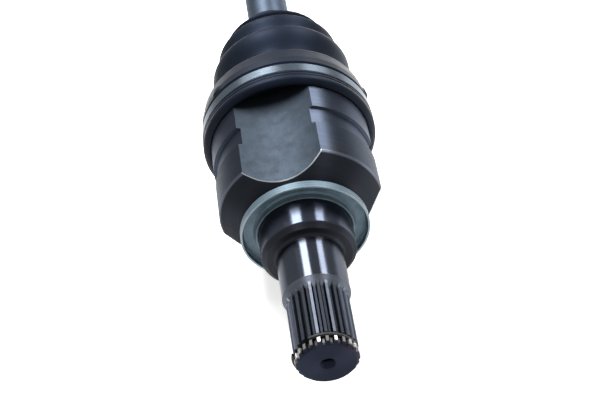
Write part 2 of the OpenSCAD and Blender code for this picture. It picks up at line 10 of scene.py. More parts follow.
import bpy
import numpy as np
from mathutils import Matrix, Vector


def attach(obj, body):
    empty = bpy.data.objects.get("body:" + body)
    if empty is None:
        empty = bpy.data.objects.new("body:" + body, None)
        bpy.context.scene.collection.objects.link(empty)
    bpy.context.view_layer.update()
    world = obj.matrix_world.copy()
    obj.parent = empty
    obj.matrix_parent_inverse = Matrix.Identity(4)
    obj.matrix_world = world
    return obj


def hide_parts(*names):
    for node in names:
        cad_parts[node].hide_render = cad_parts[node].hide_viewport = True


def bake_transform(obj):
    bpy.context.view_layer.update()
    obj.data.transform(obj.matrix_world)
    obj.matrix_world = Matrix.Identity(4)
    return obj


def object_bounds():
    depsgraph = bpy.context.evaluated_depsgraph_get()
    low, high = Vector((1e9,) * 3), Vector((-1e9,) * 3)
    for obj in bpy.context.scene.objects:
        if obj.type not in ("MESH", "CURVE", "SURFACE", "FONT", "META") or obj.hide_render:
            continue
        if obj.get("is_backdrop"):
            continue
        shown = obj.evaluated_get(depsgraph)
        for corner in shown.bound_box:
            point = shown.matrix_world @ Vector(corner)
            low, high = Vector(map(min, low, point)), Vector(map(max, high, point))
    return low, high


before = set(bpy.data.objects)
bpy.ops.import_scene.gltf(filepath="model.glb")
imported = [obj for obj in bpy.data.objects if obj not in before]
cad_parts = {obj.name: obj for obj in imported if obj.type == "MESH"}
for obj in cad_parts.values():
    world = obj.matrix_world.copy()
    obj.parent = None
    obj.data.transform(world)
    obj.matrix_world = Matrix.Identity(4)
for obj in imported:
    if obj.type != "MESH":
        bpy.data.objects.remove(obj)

log = logging.getLogger("half_shaft")

# The CAD is measured in metres, and the sizes below are in millimetres.
MM = 0.001

# Oiled, faintly oxidised steel mirrors less at a glancing angle than clean metal does.
OXIDE_EDGE = (0.6, 0.6, 0.6, 1.0)
WHITE = (1.0, 1.0, 1.0, 1.0)

# The housing's three round hollows: the way each faces, in degrees from +Y to +Z, and the
# distance from the shaft's axis to a hollow's axis.
HOLLOW_ANGLES = (90, 210, 330)
HOLLOW_CENTRE = 68.85
THIRD_TURN = 2 * math.pi / 3


def linear(hex_colour: str) -> tuple[float, float, float, float]:
    """Turns an sRGB hex colour into linear light.

    Args:
        hex_colour: six hex digits, with or without a leading hash.

    Returns:
        Red, green, blue and alpha, as Blender's shaders take them.
    """
    digits = hex_colour.lstrip("#")
    parts = [int(digits[i : i + 2], 16) / 255 for i in (0, 2, 4)]
    red, green, blue = (
        c / 12.92 if c <= 0.04045 else ((c + 0.055) / 1.055) ** 2.4 for c in parts
    )
    return red, green, blue, 1.0


def add_node(
    tree: bpy.types.NodeTree, kind: str, inputs: Optional[dict[Any, Any]] = None
) -> bpy.types.Node:
    """Adds one shader node with its settings and the links into it.

    Args:
        tree: the node tree that gets the node.
        kind: Blender's name for the node type.
        inputs: properties by name and inputs by name or number, each with a value or with
            the socket that feeds it; "stops" fills a colour ramp with (place, colour)
            pairs.

    Returns:
        The new node.
    """
    made = tree.nodes.new(kind)
    for key, value in (inputs or {}).items():
        if isinstance(value, bpy.types.NodeSocket):
            tree.links.new(value, made.inputs[key])
        elif key == "stops":
            ramp = made.color_ramp
            while len(ramp.elements) < len(value):
                ramp.elements.new(0.5)
            for element, (place, colour) in zip(ramp.elements, value):
                element.position = place
                element.color = colour
        elif isinstance(key, int) or key in made.inputs:
            made.inputs[key].default_value = value
        else:
            setattr(made, key, value)
    return made


def calc(tree: bpy.types.NodeTree, operation: str, *values: Any) -> bpy.types.NodeSocket:
    """Adds one Math node.

    Args:
        tree: the node tree that gets the node.
        operation: Blender's name for the operation.
        values: up to three operands, each a socket or a number.

    Returns:
        The result's socket.
    """
    inputs = {"operation": operation, **dict(enumerate(values))}
    return add_node(tree, "ShaderNodeMath", inputs).outputs[0]


def start_material(name: str) -> tuple[bpy.types.Material, bpy.types.NodeTree]:
    """Makes an empty node material.

    Args:
        name: what the finish is.

    Returns:
        The material and its cleared node tree.
    """
    material = bpy.data.materials.new(name)
    material.use_nodes = True
    material.node_tree.nodes.clear()
    return material, material.node_tree


def paint(tree: bpy.types.NodeTree, hex_colour: str) -> bpy.types.NodeSocket:
    """Adds a flat colour that other colours are laid over, and returns its socket."""
    made = add_node(tree, "ShaderNodeRGB")
    made.outputs[0].default_value = linear(hex_colour)
    return made.outputs[0]


def add_surface(tree: bpy.types.NodeTree, inputs: dict[str, Any]) -> None:
    """Adds the Principled shader and the output, which complete a material.

    Args:
        tree: the material's node tree.
        inputs: the shader's inputs by name, each with a value or a socket.
    """
    shader = add_node(tree, "ShaderNodeBsdfPrincipled", inputs)
    add_node(tree, "ShaderNodeOutputMaterial", {"Surface": shader.outputs[0]})


def add_bump(
    tree: bpy.types.NodeTree,
    height: bpy.types.NodeSocket,
    strength: Any,
    depth: float,
    normal: Optional[bpy.types.NodeSocket] = None,
) -> bpy.types.NodeSocket:
    """Tilts the normal as a height map does.

    Args:
        tree: the material's node tree.
        height: the map, from 0 to 1.
        strength: share of the tilt that shows, a socket or a number.
        depth: the height that 1 stands for, in mm.
        normal: the normal underneath, where it is not the surface's own.

    Returns:
        The tilted normal.
    """
    inputs = {"Height": height, "Strength": strength, "Distance": depth * MM}
    if normal:
        inputs["Normal"] = normal
    return add_node(tree, "ShaderNodeBump", inputs).outputs[0]


@dataclass
class Lathe:
    """Sockets that place a point on the shaft: station and radius in mm, and angle."""

    tree: bpy.types.NodeTree
    station: bpy.types.NodeSocket = field(init=False)
    radius: bpy.types.NodeSocket = field(init=False)
    angle: bpy.types.NodeSocket = field(init=False)
    point: bpy.types.NodeSocket = field(init=False)

    def __post_init__(self) -> None:
        """Works the three coordinates out from Object coordinates."""
        tree = self.tree
        coordinates = add_node(tree, "ShaderNodeTexCoord")
        scaled = add_node(
            tree,
            "ShaderNodeVectorMath",
            {"operation": "SCALE", "Scale": 1 / MM, 0: coordinates.outputs["Object"]},
        )
        self.point = scaled.outputs[0]
        axes = add_node(tree, "ShaderNodeSeparateXYZ", {0: self.point})
        self.station = axes.outputs["X"]
        flat = add_node(
            tree, "ShaderNodeCombineXYZ", {"X": axes.outputs["Y"], "Y": axes.outputs["Z"]}
        )
        length = add_node(
            tree, "ShaderNodeVectorMath", {"operation": "LENGTH", 0: flat.outputs[0]}
        )
        self.radius = length.outputs["Value"]
        self.angle = calc(tree, "ARCTAN2", axes.outputs["Z"], axes.outputs["Y"])

    def axial_tangent(self) -> bpy.types.NodeSocket:
        """Returns the direction in the surface that runs along the shaft.

        Turning and grinding leave grooves round the axis, and a groove spreads light
        across itself, so this is the way that a highlight is drawn out.
        """
        tree = self.tree
        axes = add_node(tree, "ShaderNodeSeparateXYZ", {0: self.point})
        minus = calc(tree, "MULTIPLY", axes.outputs["Z"], -1.0)
        around = add_node(tree, "ShaderNodeCombineXYZ", {"Y": minus, "Z": axes.outputs["Y"]})
        geometry = add_node(tree, "ShaderNodeNewGeometry")
        along = add_node(
            tree,
            "ShaderNodeVectorMath",
            {"operation": "CROSS_PRODUCT", 0: geometry.outputs["Normal"], 1: around.outputs[0]},
        )
        return along.outputs[0]

    def hollow_gap(self, centre: float, hollow_radius: float) -> bpy.types.NodeSocket:
        """Distance from the nearest of three round hollows, in mm; 0 is on its surface.

        The angle is folded into one third of a turn, so that one circle stands for all
        three: gap = |(R cos a, R sin a) - (centre, 0)| - hollow_radius.

        Args:
            centre: distance from the shaft's axis to a hollow's axis.
            hollow_radius: radius of a hollow.

        Returns:
            A socket in mm.
        """
        tree = self.tree
        turned = calc(
            tree, "ADD", self.angle, THIRD_TURN / 2 - math.radians(HOLLOW_ANGLES[0])
        )
        folded = calc(tree, "FLOORED_MODULO", turned, THIRD_TURN)
        off = calc(tree, "SUBTRACT", folded, THIRD_TURN / 2)
        side = self.both(calc(tree, "SINE", off), self.radius)
        reach = self.both(calc(tree, "COSINE", off), self.radius)
        from_centre = calc(tree, "SUBTRACT", reach, centre)
        offset = add_node(tree, "ShaderNodeCombineXYZ", {"X": from_centre, "Y": side})
        length = add_node(
            tree, "ShaderNodeVectorMath", {"operation": "LENGTH", 0: offset.outputs[0]}
        )
        return calc(tree, "SUBTRACT", length.outputs["Value"], hollow_radius)

    def rings(self, pitch: float, stretch: float, detail: float = 3.0) -> bpy.types.NodeSocket:
        """Noise drawn out round the axis, as a cutting tool leaves it.

        Args:
            pitch: typical distance between two lines, in mm.
            stretch: how many times the noise changes in one radian round the axis.
            detail: octaves of the noise.

        Returns:
            A socket from 0 to 1.
        """
        tree = self.tree
        inputs = {
            "X": calc(tree, "MULTIPLY", self.station, 1 / pitch),
            "Y": calc(tree, "MULTIPLY", self.angle, stretch),
            "Z": calc(tree, "MULTIPLY", self.radius, 1 / pitch),
        }
        place = add_node(tree, "ShaderNodeCombineXYZ", inputs)
        noise = add_node(
            tree,
            "ShaderNodeTexNoise",
            {"Scale": 1.0, "Detail": detail, "Vector": place.outputs[0]},
        )
        return noise.outputs["Fac"]

    def grain(self, size: float, detail: float = 2.0) -> bpy.types.NodeSocket:
        """Even noise in space.

        Args:
            size: width of one patch, in mm.
            detail: octaves of the noise.

        Returns:
            A socket from 0 to 1.
        """
        noise = add_node(
            self.tree,
            "ShaderNodeTexNoise",
            {"Scale": 1 / size, "Detail": detail, "Vector": self.point},
        )
        return noise.outputs["Fac"]

    def between(
        self, socket: bpy.types.NodeSocket, low: float, high: float
    ) -> bpy.types.NodeSocket:
        """Rises smoothly from 0 at low to 1 at high.

        Args:
            socket: the value that is read.
            low: where the answer is 0.
            high: where the answer is 1; below low, the answer falls instead.

        Returns:
            A socket from 0 to 1.
        """
        ranged = add_node(
            self.tree,
            "ShaderNodeMapRange",
            {
                "interpolation_type": "SMOOTHSTEP",
                "From Min": low,
                "From Max": high,
                "Value": socket,
            },
        )
        return ranged.outputs["Result"]

    def patches(
        self, size: float, low: float, high: float, detail: float = 2.0
    ) -> bpy.types.NodeSocket:
        """Irregular patches with soft edges.

        Args:
            size: width of one patch, in mm.
            low: the noise where a patch begins.
            high: the noise where it is full.
            detail: octaves of the noise.

        Returns:
            A socket from 0 to 1.
        """
        return self.between(self.grain(size, detail), low, high)

    def spread(
        self, noise: bpy.types.NodeSocket, low: float, high: float
    ) -> bpy.types.NodeSocket:
        """Stretches a noise from 0 to 1 so that it runs from low to high."""
        return calc(self.tree, "MULTIPLY_ADD", noise, high - low, low)

    def uneven(
        self,
        roughness: float,
        size: float,
        detail: float = 2.0,
        below: float = 0.06,
        above: float = 0.1,
    ) -> bpy.types.NodeSocket:
        """A roughness that drifts from place to place.

        Args:
            roughness: what it would be if it were even.
            size: width of one patch, in mm.
            detail: octaves of the noise.
            below: how far it can fall.
            above: how far it can rise.

        Returns:
            The roughness at each point.
        """
        return self.spread(self.grain(size, detail), roughness - below, roughness + above)

    def both(
        self, first: bpy.types.NodeSocket, second: bpy.types.NodeSocket
    ) -> bpy.types.NodeSocket:
        """Returns the product of two masks."""
        return calc(self.tree, "MULTIPLY", first, second)

    def within(self, start: float, end: float, soft: float) -> bpy.types.NodeSocket:
        """Is 1 between two stations and falls to 0 outside, over a soft length.

        Args:
            start: first station, in mm.
            end: last station, in mm.
            soft: length of the change at each end, in mm.

        Returns:
            A socket from 0 to 1.
        """
        return self.both(
            self.between(self.station, start - soft / 2, start + soft / 2),
            self.between(self.station, end + soft / 2, end - soft / 2),
        )

    def scale(
        self, colour: bpy.types.NodeSocket, factor: bpy.types.NodeSocket
    ) -> bpy.types.NodeSocket:
        """Makes a colour brighter or darker by a factor."""
        scaled = add_node(
            self.tree,
            "ShaderNodeVectorMath",
            {"operation": "SCALE", 0: colour, "Scale": factor},
        )
        return scaled.outputs[0]

    def tint(
        self,
        colour: bpy.types.NodeSocket,
        other: str,
        mask: bpy.types.NodeSocket,
        share: float = 1.0,
    ) -> bpy.types.NodeSocket:
        """Mixes a flat colour over another where a mask is 1.

        Args:
            colour: the colour underneath.
            other: the sRGB hex colour on top.
            mask: where it shows, from 0 to 1.
            share: how much of it shows where the mask is 1.

        Returns:
            The mixed colour.
        """
        if share != 1.0:
            mask = calc(self.tree, "MULTIPLY", mask, share)
        mixed = add_node(
            self.tree,
            "ShaderNodeMix",
            {"data_type": "RGBA", 7: linear(other), 0: mask, 6: colour},
        )
        return mixed.outputs[2]


@dataclass(frozen=True)
class Zone:
    """A length of the shaft with one finish, from its start station on, in mm."""

    start: float
    colour: str
    roughness: float
    streak: float = 0.3


@dataclass(frozen=True)
class Hollows:
    """The three forged hollows of the housing, and a bright line painted on the turned metal
    along their lower edge: a painted highlight on that edge, which also stands for wear."""

    centre: float
    radius: float
    start: float
    end: float
    wear_and_highlight_end: float
    wear_and_highlight_colour: str
    wear_and_highlight_gap: tuple[float, float] = (0.2, 0.55)
    reach: float = 0.3
    slope: float = 0.1

    def faces(self, mesh: bpy.types.Mesh) -> np.ndarray:
        """Finds the faces that lie on a hollow's surface.

        A face is on it if its middle is within reach of the hollow's cylinder, with the
        angle folded into one third of a turn as in Lathe.hollow_gap, and if its normal
        leans along the shaft by less than slope.

        Args:
            mesh: the housing's mesh.

        Returns:
            A boolean for each face.
        """
        count = len(mesh.polygons)
        middles = np.empty(count * 3)
        mesh.polygons.foreach_get("center", middles)
        x, y, z = middles.reshape(-1, 3).T / MM
        half = THIRD_TURN / 2
        off = (np.arctan2(z, y) - np.radians(HOLLOW_ANGLES[0]) + half) % THIRD_TURN - half
        radius = np.hypot(y, z)
        gap = np.hypot(radius * np.cos(off) - self.centre, radius * np.sin(off)) - self.radius
        normals = np.empty(count * 3)
        mesh.polygons.foreach_get("normal", normals)
        level = np.abs(normals[::3]) < self.slope
        return (np.abs(gap) < self.reach) & (x > self.start) & (x < self.end) & level


@dataclass(frozen=True)
class Teeth:
    """A length of spline whose tooth tips are painted lighter than the gaps: a painted
    highlight.
    """

    start: float
    end: float
    tip_radius: float
    colour: str


@dataclass(frozen=True)
class Thread:
    """A length of rolled thread."""

    start: float
    end: float
    pitch: float


@dataclass(frozen=True)
class ZonedSteel:
    """Hardened steel whose finish changes along the shaft: ground journals are dark and
    mirror-like, and turned faces show the tool's rings.

    blur, core_blur and soft are the lengths, in mm, over which one finish changes into the
    next; a tooth's tip is painted lighter between the two tip_depth values below its top, a
    painted highlight.
    """

    name: str
    zones: tuple[Zone, ...]
    end: float
    teeth: tuple[Teeth, ...]
    hollows: Optional[Hollows] = None
    thread: Optional[Thread] = None
    core_radius: float = 0.0
    core_blur: float = 0.3
    blur: float = 0.12
    soft: float = 0.4
    tip_depth: tuple[float, float] = (0.35, 0.05)
    heat_tint: str = "#3a2c26"
    heat_share: float = 0.25
    contrast: float = 1.6

    def material(self) -> bpy.types.Material:
        """Returns the finish as a node material."""
        material, tree = start_material(self.name)
        lathe = Lathe(tree)
        first, span = self.zones[0].start, self.end - self.zones[0].start
        place = add_node(
            tree,
            "ShaderNodeMapRange",
            {"From Min": first, "From Max": self.end, "Value": lathe.station},
        ).outputs[0]
        colour = self._ramp(tree, place, [linear(z.colour) for z in self.zones], span)
        rough, streak = (
            self._ramp(tree, place, [(value,) * 3 + (1.0,) for value in values], span)
            for values in ([z.roughness for z in self.zones], [z.streak for z in self.zones])
        )

        # Turning lines are about 0.2 mm apart on the real part; they are drawn four times
        # as coarse, because finer ones would not show.
        rings = lathe.rings(pitch=0.8, stretch=1.6)
        # Each spline's tooth tips are painted lighter than the gaps: a painted highlight.
        for teeth in self.teeth:
            low, high = (teeth.tip_radius - depth for depth in self.tip_depth)
            tips = lathe.both(
                lathe.between(lathe.radius, low, high),
                lathe.within(teeth.start, teeth.end, self.soft),
            )
            colour = lathe.tint(colour, teeth.colour, tips)
        # Hardening leaves faint brown patches.
        heat = lathe.both(
            lathe.patches(size=14.0, low=0.5, high=0.75),
            lathe.between(lathe.rings(pitch=5.0, stretch=0.9, detail=1.0), low=0.35, high=0.7),
        )
        colour = lathe.tint(colour, self.heat_tint, heat, self.heat_share)
        if self.core_radius:
            edge = self.core_radius + self.core_blur
            core = lathe.between(lathe.radius, edge, self.core_radius)
            colour = lathe.tint(colour, self.zones[0].colour, core)
        # A bright line along each hollow's lower edge: a painted highlight on that edge, which
        # also stands for wear.
        if self.hollows:
            gap = lathe.hollow_gap(self.hollows.centre, self.hollows.radius)
            near, far = self.hollows.wear_and_highlight_gap
            wear_and_highlight = lathe.both(
                lathe.between(gap, far, near),
                lathe.within(self.hollows.start, self.hollows.wear_and_highlight_end, self.soft),
            )
            colour = lathe.tint(colour, self.hollows.wear_and_highlight_colour, wear_and_highlight)
        # The rings make the metal brighter and darker by turns, by each zone's streak.
        swing = calc(tree, "MULTIPLY", calc(tree, "SUBTRACT", rings, 0.5), streak)
        colour = lathe.scale(colour, calc(tree, "MULTIPLY_ADD", swing, self.contrast, 1.0))
        wander = lathe.spread(lathe.grain(size=6.0), low=-0.05, high=0.05)
        rough = calc(tree, "ADD", rough, wander)
        relief = calc(tree, "MULTIPLY", streak, 0.5)
        normal = add_bump(tree, rings, strength=relief, depth=0.06)
        if self.thread:
            normal = self._thread(lathe, normal)
        add_surface(
            tree,
            {
                "Metallic": 1.0,
                "Anisotropic": 0.9,
                "Specular Tint": OXIDE_EDGE,
                "Base Color": colour,
                "Roughness": rough,
                "Normal": normal,
                "Tangent": lathe.axial_tangent(),
            },
        )
        return material

    def _ramp(
        self,
        tree: bpy.types.NodeTree,
        place: bpy.types.NodeSocket,
        values: Sequence[tuple[float, ...]],
        span: float,
    ) -> bpy.types.NodeSocket:
        """Holds one value over each zone, with a short change between two.

        Args:
            tree: the node tree.
            place: the station, from 0 at the first zone to 1 at the last zone's end.
            values: one colour for each zone.
            span: length of all zones, in mm.

        Returns:
            The value at the station.
        """
        stops: list[tuple[float, tuple[float, ...]]] = []
        for zone, value in zip(self.zones, values):
            at = (zone.start - self.zones[0].start) / span
            if stops:
                stops.append((at - self.blur / span, stops[-1][1]))
            stops.append((at + self.blur / span, value))
        ramp = add_node(tree, "ShaderNodeValToRGB", {"stops": stops, 0: place})
        return ramp.outputs["Color"]

    def _thread(self, lathe: Lathe, normal: bpy.types.NodeSocket) -> bpy.types.NodeSocket:
        """Adds the thread's flanks: a V that climbs one pitch in each turn.

        Args:
            lathe: the coordinates.
            normal: the normal underneath.

        Returns:
            The normal with the thread on it.
        """
        tree, thread = lathe.tree, self.thread
        turns = calc(tree, "DIVIDE", lathe.station, thread.pitch)
        climb = calc(tree, "MULTIPLY_ADD", lathe.angle, 1 / (2 * math.pi), turns)
        wave = calc(tree, "PINGPONG", climb, 0.5)
        height = lathe.both(wave, lathe.within(thread.start, thread.end, soft=0.5))
        return add_bump(tree, height, strength=1.0, depth=1.6, normal=normal)


class Cut(Enum):
    """How a plain steel piece was finished."""

    TURNED = "turned"
    GROUND = "ground"
    BLACKENED = "blackened"


@dataclass(frozen=True)
class PlainSteel:
    """Steel with one finish all over: rings from a lathe, or the even haze of grinding."""

    name: str
    colour: str
    roughness: float
    cut: Cut
    stain: str = "#2a2624"

    def material(self) -> bpy.types.Material:
        """Returns the finish as a node material."""
        material, tree = start_material(self.name)
        lathe = Lathe(tree)
        if self.cut is Cut.TURNED:
            lines, relief, drawn_out = lathe.rings(pitch=0.9, stretch=1.2), 0.2, 0.6
        else:
            lines, relief, drawn_out = lathe.grain(size=0.7, detail=3.0), 0.1, 0.0
        marks = lathe.patches(size=9.0, low=0.5, high=0.85, detail=4.0)
        colour = lathe.tint(paint(tree, self.colour), self.stain, marks, share=0.4)
        shade = lathe.spread(lines, low=0.8, high=1.2)
        rough = lathe.uneven(self.roughness, size=5.0)
        normal = add_bump(tree, lines, strength=relief, depth=0.05)
        add_surface(
            tree,
            {
                "Metallic": 0.0 if self.cut is Cut.BLACKENED else 1.0,
                "Anisotropic": drawn_out,
                "Specular Tint": OXIDE_EDGE,
                "Base Color": lathe.scale(colour, shade),
                "Roughness": rough,
                "Normal": normal,
                "Tangent": lathe.axial_tangent(),
            },
        )
        return material


@dataclass(frozen=True)
class ForgedSkin:
    """A shot-blasted forging skin: an even, mottled grey with fine pits."""

    name: str = "shot_blasted_forging_skin"
    colour: str = "#30373f"
    patch: str = "#2c3239"
    pit: str = "#202328"
    roughness: float = 0.58

    def material(self) -> bpy.types.Material:
        """Returns the finish as a node material."""
        material, tree = start_material(self.name)
        lathe = Lathe(tree)
        patches = lathe.patches(size=6.0, low=0.35, high=0.7, detail=4.0)
        colour = lathe.tint(paint(tree, self.colour), self.patch, patches)
        pits = lathe.patches(size=1.3, low=0.7, high=0.78, detail=1.0)
        colour = lathe.tint(colour, self.pit, pits, share=0.7)
        fine = lathe.grain(size=0.5, detail=3.0)
        shade = lathe.spread(fine, low=0.75, high=1.25)
        rough = lathe.uneven(self.roughness, size=3.0)
        # Blasting leaves dents of about 0.2 mm, drawn at 0.5 mm so that they show.
        normal = add_bump(tree, fine, strength=0.25, depth=0.08)
        add_surface(
            tree,
            {
                "Metallic": 1.0,
                "Specular Tint": OXIDE_EDGE,
                "Base Color": lathe.scale(colour, shade),
                "Roughness": rough,
                "Normal": normal,
            },
        )
        return material


@dataclass(frozen=True)
class MouldedRubber:
    """Black chloroprene rubber, moulded: a soft sheen, with a fine bloom on top."""

    name: str = "moulded_chloroprene_rubber"
    colour: str = "#0b0f15"
    bloom: str = "#131821"
    sheen: str = "#a9bdee"
    roughness: float = 0.42

    def material(self) -> bpy.types.Material:
        """Returns the finish as a node material."""
        material, tree = start_material(self.name)
        lathe = Lathe(tree)
        dust = lathe.patches(size=11.0, low=0.4, high=0.8, detail=4.0)
        colour = lathe.tint(paint(tree, self.colour), self.bloom, dust, share=0.5)
        rough = lathe.uneven(self.roughness, size=4.0, detail=3.0)
        # The mould's spark-eroded skin is finer than 0.1 mm and is drawn at 0.6 mm.
        normal = add_bump(tree, lathe.grain(size=0.6), strength=0.12, depth=0.08)
        add_surface(
            tree,
            {
                "Metallic": 0.0,
                "Specular IOR Level": 0.1,
                "Specular Tint": linear(self.sheen),
                "Base Color": colour,
                "Roughness": rough,
                "Normal": normal,
            },
        )
        return material


@dataclass(frozen=True)
class PlatedSheet:
    """Pressed sheet steel, zinc plated and passivated: a bluish, cloudy satin coat.

    The edge is painted brighter, a painted highlight, and the rim is painted darker, painted
    shade, with two thin dark lines of painted shade for its bends; rim is the radius where it
    begins, edge and lines are stations, and line is half the width of a dark line, all in mm.
    """

    name: str = "zinc_plated_sheet"
    colour: str = "#5d6f7a"
    cloud: str = "#52636e"
    bright: str = "#b4c3cb"
    dark: str = "#39454d"
    roughness: float = 0.42
    rim: float = 28.3
    rim_shade: float = 0.55
    edge: float = 6.3
    lines: tuple[float, ...] = (7.3, 8.7)
    line: float = 0.15

    def material(self) -> bpy.types.Material:
        """Returns the finish as a node material."""
        material, tree = start_material(self.name)
        lathe = Lathe(tree)
        clouds = lathe.patches(size=5.0, low=0.35, high=0.75, detail=3.0)
        colour = lathe.tint(paint(tree, self.colour), self.cloud, clouds)
        rings = lathe.rings(pitch=0.7, stretch=1.4)
        colour = lathe.scale(colour, lathe.spread(rings, low=0.75, high=1.25))
        # The rim is painted darker, painted shade, and its two thin dark lines are painted
        # shade for the rim's bends.
        rim = lathe.between(lathe.radius, self.rim, self.rim + 2 * self.line)
        colour = lathe.tint(colour, self.dark, rim, self.rim_shade)
        for line in self.lines:
            place = lathe.within(line - self.line, line + self.line, soft=0.2)
            colour = lathe.tint(colour, self.dark, lathe.both(rim, place), share=0.8)
        # The edge is painted brighter: a painted highlight.
        edges = lathe.between(lathe.station, self.edge + 0.1, self.edge - 0.1)
        colour = lathe.tint(colour, self.bright, edges)
        rough = lathe.uneven(self.roughness, size=3.0, below=0.05, above=0.07)
        normal = add_bump(tree, rings, strength=0.1, depth=0.05)
        add_surface(
            tree,
            {
                "Metallic": 0.3,
                "Specular IOR Level": 0.15,
                "Base Color": colour,
                "Roughness": rough,
                "Normal": normal,
            },
        )
        return material


def dress(nodes: Sequence[str], material: bpy.types.Material) -> None:
    """Gives CAD nodes one material in every slot.

    Args:
        nodes: names of the CAD nodes.
        material: the finish that they get.
    """
    for name in nodes:
        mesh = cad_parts[name].data
        mesh.materials.clear()
        mesh.materials.append(material)
        log.info("finish %s on %s", material.name, name)


def mesh_object(
    name: str, points: np.ndarray, quads: np.ndarray, material: bpy.types.Material
) -> bpy.types.Object:
    """Puts computed points and faces into a mesh object at the origin.

    Args:
        name: the piece's name.
        points: array of shape (n, 3), in metres.
        quads: array of shape (m, 4), indices into points.
        material: the piece's finish.

    Returns:
        The object, linked into the scene.
    """
    mesh = bpy.data.meshes.new(name)
    mesh.from_pydata(points, [], quads.tolist())
    mesh.polygons.foreach_set("use_smooth", np.ones(len(quads), bool))
    mesh.materials.append(material)
    mesh.validate()
    mesh.update()
    made = bpy.data.objects.new(name, mesh)
    bpy.context.scene.collection.objects.link(made)
    log.info("piece %s: %d faces", name, len(quads))
    return made


def grid_quads(rows: int, columns: int, closed: bool = True) -> np.ndarray:
    """Faces of a grid whose profile closes on itself, as a tube's or a torus's does.

    Args:
        rows: points along the closed profile.
        columns: points across it, such as those round the axis.
        closed: whether the last column joins the first.

    Returns:
        Array of shape (faces, 4).
    """
    across = np.arange(columns if closed else columns - 1)
    row, column = np.meshgrid(np.arange(rows), across, indexing="ij")
    next_row, next_column = (row + 1) % rows, (column + 1) % columns
    corners = (
        row * columns + column,
        row * columns + next_column,
        next_row * columns + next_column,
        next_row * columns + column,
    )
    return np.stack(corners, -1).reshape(-1, 4)


@dataclass
class Tab:
    """A small moulded block on a boot's ridge, at an angle in degrees from +Y to +Z.

    Its flanks rise over flank, in mm along the shaft, and flank_angle, in degrees.
    """

    angle: float
    start: float
    end: float
    width: float
    height: float
    flank: float = 0.5
    flank_angle: float = 0.6


@dataclass
class Boot:
    """A rubber boot: a shell of even wall whose radius is a function of the station.

    The outer radius follows straight lines through the cuffs' corners and a half cosine
    between each fold's crest and valley. Averaging over a short length rounds the edges.
    The folds can lean to one side, by a flat-topped curve that rises and falls over
    lean_ramps. Lengths are in mm and angles in degrees from +Y to +Z.
    """

    corners: list[tuple[float, float]]
    turns: list[tuple[float, float]]
    far_cuff: list[tuple[float, float]]
    seat: list[tuple[float, float]]
    wall: float
    thinnest: float = 0.6
    round_over: float = 0.28
    step: float = 0.25
    around: int = 160
    lean: float = 0.0
    lean_angle: float = 0.0
    lean_span: tuple[float, float] = (0.0, 1.0)
    lean_ramps: tuple[float, float] = (20.0, 3.0)
    tabs: list[Tab] = field(default_factory=list)

    def outer(self, stations: np.ndarray) -> np.ndarray:
        """Returns the outer radius at each station, in mm."""
        fine = np.linspace(self.corners[0][0], self.far_cuff[-1][0], 4000)
        cuff = np.array(self.corners + self.turns[:1])
        folds = np.array(self.turns)
        far = np.array(self.turns[-1:] + self.far_cuff)
        index = np.clip(np.searchsorted(folds[:, 0], fine, "right") - 1, 0, len(folds) - 2)
        share = np.clip(
            (fine - folds[index, 0]) / (folds[index + 1, 0] - folds[index, 0]), 0, 1
        )
        swing = folds[index, 1] + (folds[index + 1, 1] - folds[index, 1]) * (
            1 - np.cos(np.pi * share)
        ) / 2
        radius = np.where(
            fine < folds[0, 0],
            np.interp(fine, cuff[:, 0], cuff[:, 1]),
            np.where(fine > folds[-1, 0], np.interp(fine, far[:, 0], far[:, 1]), swing),
        )
        reach = max(1, int(self.round_over / (fine[1] - fine[0])))
        kernel = np.hanning(2 * reach + 3)
        padded = np.pad(radius, reach + 1, mode="edge")
        smooth = np.convolve(padded, kernel / kernel.sum(), "valid")
        return np.interp(stations, fine, smooth)

    def inner(self, stations: np.ndarray) -> np.ndarray:
        """Returns the inner radius: the seats under the cuffs, and the wall elsewhere."""
        seat = np.array(self.seat)
        held = np.interp(stations, seat[:, 0], seat[:, 1])
        shell = self.outer(stations) - self.wall
        low, high = self.turns[0][0], self.turns[-1][0]
        inside = np.where((stations > low) & (stations < high), shell, held)
        return np.minimum(inside, self.outer(stations) - self.thinnest)

    def piece(
        self, name: str, start: float, end: float, material: bpy.types.Material
    ) -> bpy.types.Object:
        """Builds the boot between two stations as one closed shell.

        Args:
            name: the piece's name.
            start: first station, in mm.
            end: last station, in mm.
            material: its finish.

        Returns:
            The mesh object.
        """
        count = max(8, int((end - start) / self.step))
        stations = np.linspace(start, end, count)
        profile_x = np.concatenate([stations, stations[::-1]])
        profile_r = np.concatenate([self.outer(stations), self.inner(stations)[::-1]])
        outside = np.concatenate([np.ones(count), np.zeros(count)])
        angle = np.linspace(0, 2 * np.pi, self.around, endpoint=False)
        station, turn = np.meshgrid(profile_x, angle, indexing="ij")
        radius = np.repeat(profile_r[:, None], self.around, 1)
        for tab in self.tabs:
            radius = radius + outside[:, None] * self._tab(tab, station, turn)
        side = self._side(station)
        way = math.radians(self.lean_angle)
        points = np.stack(
            [
                station,
                radius * np.cos(turn) + side * math.cos(way),
                radius * np.sin(turn) + side * math.sin(way),
            ],
            -1,
        )
        return mesh_object(
            name, points.reshape(-1, 3) * MM, grid_quads(2 * count, self.around), material
        )

    def _side(self, station: np.ndarray) -> np.ndarray:
        """Returns how far the folds lean to one side at a station, in mm."""
        low, high = self.lean_span
        rise = np.clip((station - low) / self.lean_ramps[0], 0, 1)
        fall = np.clip((high - station) / self.lean_ramps[1], 0, 1)
        return self.lean * np.sin(np.pi / 2 * rise) * np.sin(np.pi / 2 * fall)

    def _tab(self, tab: Tab, station: np.ndarray, turn: np.ndarray) -> np.ndarray:
        """Height of a tab: a product of two steep ramps along and round the boot."""
        off = np.abs((np.degrees(turn) - tab.angle + 180) % 360 - 180)
        half = math.degrees(tab.width / 2 / self.corners[-1][1])
        across = np.clip((half - off) / tab.flank_angle + 1, 0, 1)
        along = np.clip(np.minimum(station - tab.start, tab.end - station) / tab.flank, 0, 1)
        return tab.height * across * along


